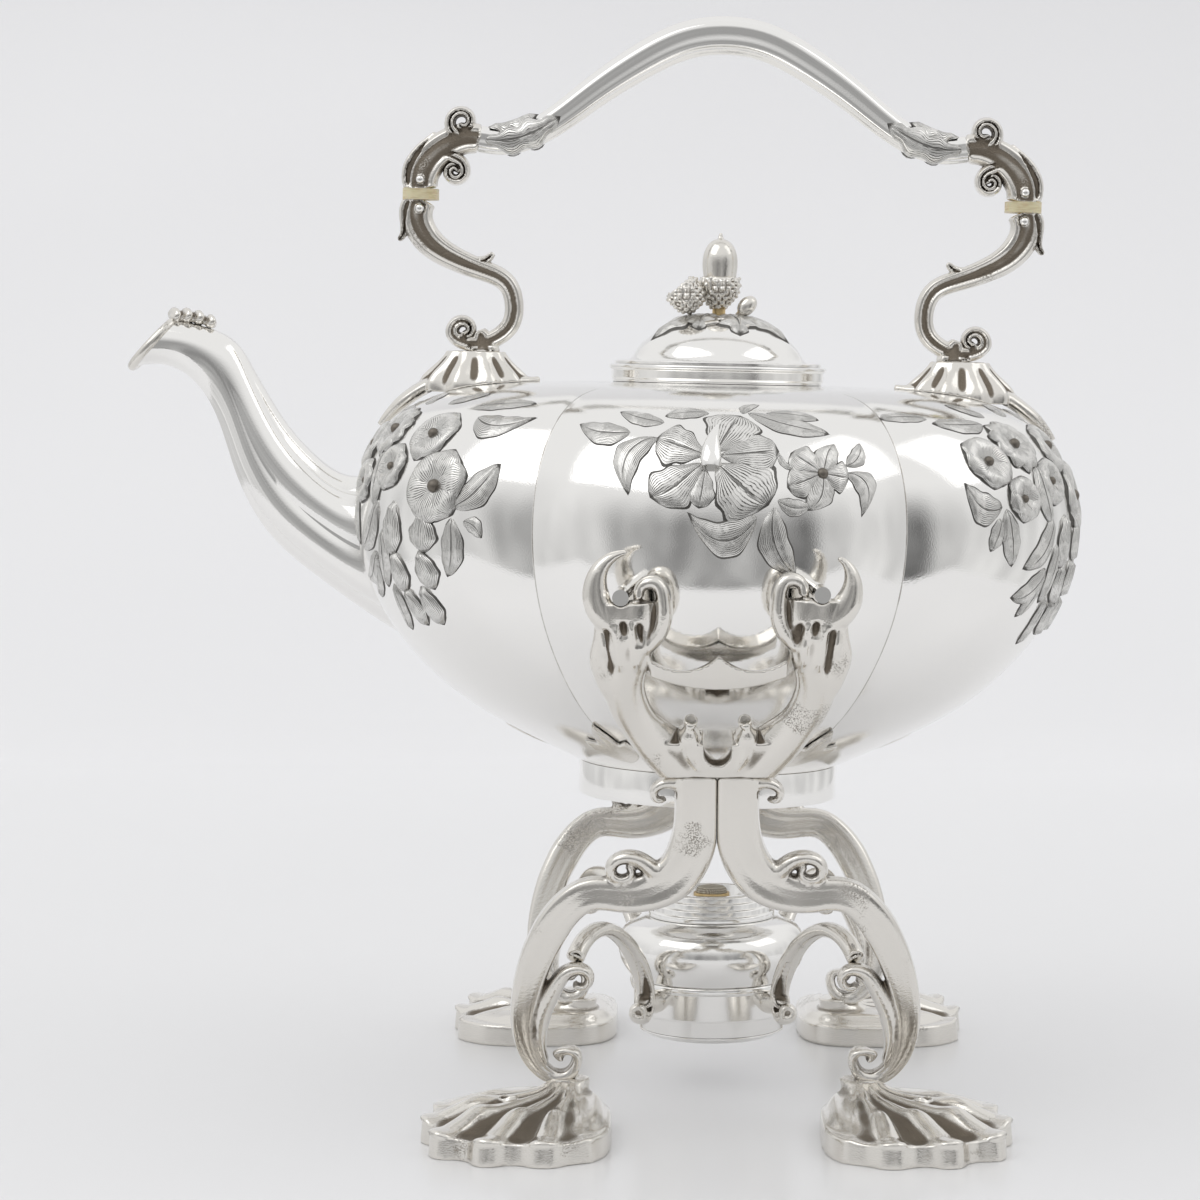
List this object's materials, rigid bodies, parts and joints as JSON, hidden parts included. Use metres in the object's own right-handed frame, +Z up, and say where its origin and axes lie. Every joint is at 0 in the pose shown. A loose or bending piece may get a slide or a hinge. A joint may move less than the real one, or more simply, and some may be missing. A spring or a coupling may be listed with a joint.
{
  "type": "tea kettle on stand",
  "caption": "Lobed silver tea kettle with a fixed scroll handle, hinged acorn lid and curved spout, tilting in a footed cradle stand over a lift-out spirit lamp.",
  "frame": {"origin": "on the table, under the middle of the whole kettle on its stand", "axes": "+Z up, +X away from the spout, +Y towards the rear cradle, away from the pictured front"},
  "size_m": [0.3172, 0.262, 0.3629],
  "materials": {
    "polished_silver": "hand polished",
    "cast_silver": "cast and chased, with tarnish left in the hollows",
    "bone": "polished bone",
    "brass": "gilt, dulled by heat",
    "cotton": "plaited cotton"
  },
  "bodies": {
    "stand": {"bracket_front_spout": "cast_silver", "bracket_front_tail": "cast_silver", "bracket_rear_spout": "cast_silver", "bracket_rear_tail": "cast_silver", "burner_ring": "polished_silver", "cradle_front": "cast_silver", "cradle_rear": "cast_silver", "foot_front_spout": "cast_silver", "foot_front_tail": "cast_silver", "foot_rear_spout": "cast_silver", "foot_rear_tail": "cast_silver", "leg_front_spout": "cast_silver", "leg_front_tail": "cast_silver", "leg_rear_spout": "cast_silver", "leg_rear_tail": "cast_silver"},
    "kettle": {"foot_ring": "polished_silver", "handle_elbow_spout": "cast_silver", "handle_elbow_tail": "cast_silver", "handle_grip": "polished_silver", "handle_scroll_spout": "cast_silver", "handle_scroll_tail": "cast_silver", "handle_socket_spout": "cast_silver", "handle_socket_tail": "cast_silver", "hinge_knuckles": "polished_silver", "insulator_pins": "polished_silver", "insulator_spout": "bone", "insulator_tail": "bone", "kettle_body": "polished_silver", "lid_hinge_pin": "polished_silver", "lower_sprays": "cast_silver", "neck_collar": "polished_silver", "pivot_pins": "polished_silver", "rest_pins": "polished_silver", "spout": "polished_silver", "spout_shell": "cast_silver"},
    "lid": {"lid_dome": "polished_silver", "lid_bezel": "polished_silver", "lid_knuckle": "polished_silver", "finial_stalk": "brass", "finial_nut": "brass", "finial_leaves": "cast_silver", "acorn_cup": "cast_silver", "acorn_nut": "polished_silver", "empty_cup": "cast_silver", "acorn_bud": "cast_silver"},
    "lamp": {"lamp_reservoir": "polished_silver", "lamp_base_dish": "polished_silver"},
    "wick_carrier": {"wick_holder": "polished_silver", "wick_tube": "brass", "wick": "cotton"}
  },
  "joints": [
    {"name": "kettle_tilt", "type": "hinge", "parent": "stand", "child": "kettle", "pos_m": [0.0089, 0, 0.1755], "axis": [0, -1, 0], "range_deg": [0, 45]},
    {"name": "lid_hinge", "type": "hinge", "parent": "kettle", "child": "lid", "pos_m": [0.04054, 0.0384, 0.24746], "axis": [-0.9997, 0, 0.0227], "range_deg": [0, 100]},
    {"name": "lamp_lift", "type": "slide", "parent": "stand", "child": "lamp", "axis": [0, 0, 1], "range_m": [0, 0.021]},
    {"name": "wick_holder_lift", "type": "slide", "parent": "lamp", "child": "wick_carrier", "axis": [0, 0, 1], "range_m": [0, 0.007]}
  ]
}
